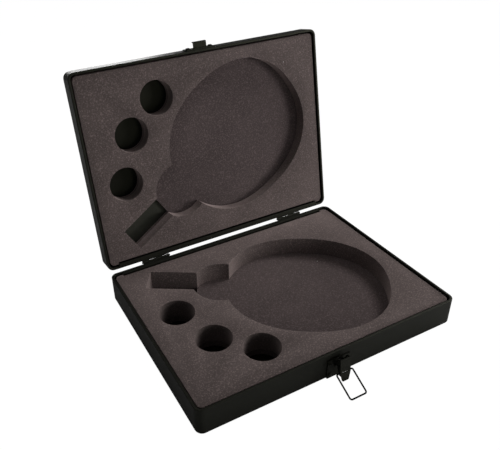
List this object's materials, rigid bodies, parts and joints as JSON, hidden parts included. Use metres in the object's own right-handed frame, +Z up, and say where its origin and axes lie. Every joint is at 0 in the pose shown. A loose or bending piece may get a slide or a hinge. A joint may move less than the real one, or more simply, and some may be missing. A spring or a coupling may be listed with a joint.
{
  "type": "racket case",
  "caption": "Hinged black steel case lined with die-cut foam for a table tennis racket and balls, shut by a wire bail toggle latch.",
  "frame": {"origin": "centre of the base's underside", "axes": "+X runs right along the hinges seen from the latch, +Y runs back from the latch to the hinges, +Z is up"},
  "size_m": [0.315, 0.3375, 0.2718],
  "materials": {
    "black_paint": "satin baked paint",
    "latch_paint": "satin baked paint",
    "dark_wire": "blackened spring steel wire",
    "grey_foam": "matt closed-cell foam with cut edges"
  },
  "bodies": {
    "base": {"base_shell": "black_paint", "base_foam_upper": "grey_foam", "base_foam_lower": "grey_foam", "base_hinge_strip": "black_paint", "hinge_base_leaf_left": "black_paint", "hinge_base_leaf_right": "black_paint", "hinge_pin_left": "black_paint", "hinge_pin_right": "black_paint", "hinge_base_rivets": "black_paint", "latch_plate": "latch_paint", "latch_plate_rivets": "latch_paint", "latch_lever_pin": "latch_paint"},
    "lid": {"lid_shell": "black_paint", "lid_foam_upper": "grey_foam", "lid_foam_lower": "grey_foam", "lid_hinge_strip": "black_paint", "hinge_lid_leaf_left": "black_paint", "hinge_lid_leaf_right": "black_paint", "hinge_lid_rivets": "black_paint", "strike_plate": "latch_paint", "strike_rivets": "latch_paint"},
    "lever": {"latch_lever": "latch_paint"},
    "bail": {"latch_bail": "dark_wire"}
  },
  "joints": [
    {"name": "lid_hinge", "type": "hinge", "parent": "base", "child": "lid", "pos_m": [0, 0.1187, 0.03315], "axis": [1, 0, 0], "range_deg": [0, 101]},
    {"name": "lever_pivot", "type": "hinge", "parent": "base", "child": "lever", "pos_m": [0, -0.1239, 0.026], "axis": [1, 0, 0], "range_deg": [-138.2, 6.8]},
    {"name": "bail_pivot", "type": "hinge", "parent": "lever", "child": "bail", "pos_m": [0, -0.12688, 0.01286], "axis": [-1, 0, 0], "range_deg": [-63, 134.83]}
  ]
}
